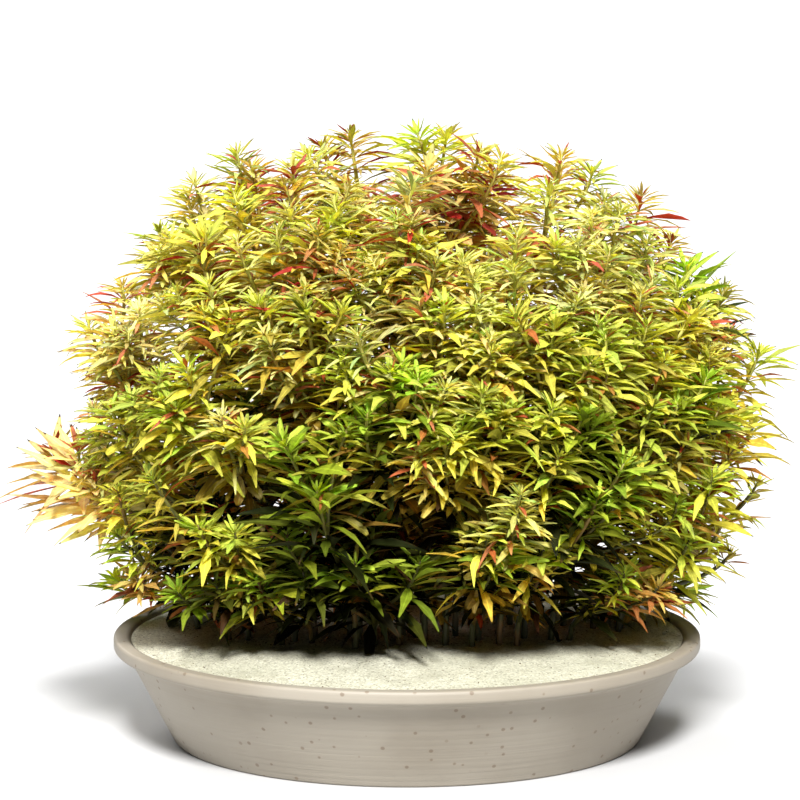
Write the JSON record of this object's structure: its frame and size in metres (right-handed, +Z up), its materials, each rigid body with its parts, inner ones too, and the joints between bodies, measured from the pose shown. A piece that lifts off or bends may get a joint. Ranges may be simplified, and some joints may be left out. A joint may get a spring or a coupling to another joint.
{
  "type": "potted aquarium stem plant, mini limnophila hippuridoides",
  "caption": "A dense, dome-shaped clump of a narrow-leaved aquarium stem plant, yellow and red at the top and green below, rooted in pale sand in a low plain pot",
  "frame": {"origin": "the centre of the pot's flat base", "axes": "+Z up out of the pot, -Y towards the side that the picture shows, +X to the right in the picture"},
  "size_m": [0.3097, 0.2392, 0.2515],
  "materials": {
    "pot_clay": "matte",
    "sand_pale": "matte",
    "leaf_yellow": "satin",
    "leaf_red": "satin",
    "leaf_olive": "satin",
    "leaf_green": "satin",
    "leaf_orange": "satin"
  },
  "bodies": {
    "root": {"pot": "pot_clay", "sand": "sand_pale", "back_shoot_1": "leaf_yellow", "back_shoot_10": "leaf_olive", "back_shoot_11": "leaf_olive", "back_shoot_12": "leaf_olive", "back_shoot_13": "leaf_olive", "back_shoot_14": "leaf_olive", "back_shoot_15": "leaf_olive", "back_shoot_2": "leaf_yellow", "back_shoot_3": "leaf_yellow", "back_shoot_4": "leaf_yellow", "back_shoot_5": "leaf_yellow", "back_shoot_6": "leaf_olive", "back_shoot_7": "leaf_olive", "back_shoot_8": "leaf_olive", "back_shoot_9": "leaf_olive", "left_shoot_1": "leaf_yellow", "left_shoot_2": "leaf_olive", "left_shoot_3": "leaf_green", "low_shoot_1": "leaf_green", "low_shoot_2": "leaf_green", "low_shoot_3": "leaf_green", "low_shoot_4": "leaf_green", "low_shoot_5": "leaf_green", "low_shoot_6": "leaf_green", "low_shoot_7": "leaf_orange", "middle_shoot_1": "leaf_olive", "middle_shoot_2": "leaf_olive", "middle_shoot_3": "leaf_olive", "middle_shoot_4": "leaf_olive", "middle_shoot_5": "leaf_olive", "middle_shoot_6": "leaf_olive", "middle_shoot_7": "leaf_olive", "middle_shoot_8": "leaf_green", "middle_shoot_9": "leaf_olive", "right_shoot_1": "leaf_yellow", "right_shoot_2": "leaf_olive", "right_shoot_3": "leaf_olive", "right_shoot_4": "leaf_olive", "right_shoot_5": "leaf_green", "top_shoot_1": "leaf_yellow", "top_shoot_2": "leaf_yellow", "top_shoot_3": "leaf_red", "top_shoot_4": "leaf_red", "top_shoot_5": "leaf_yellow", "top_shoot_6": "leaf_orange", "top_shoot_7": "leaf_orange", "trailing_shoot": "leaf_orange", "upper_shoot_1": "leaf_yellow", "upper_shoot_2": "leaf_yellow", "upper_shoot_3": "leaf_yellow", "upper_shoot_4": "leaf_yellow", "upper_shoot_5": "leaf_yellow"}
  },
  "joints": []
}
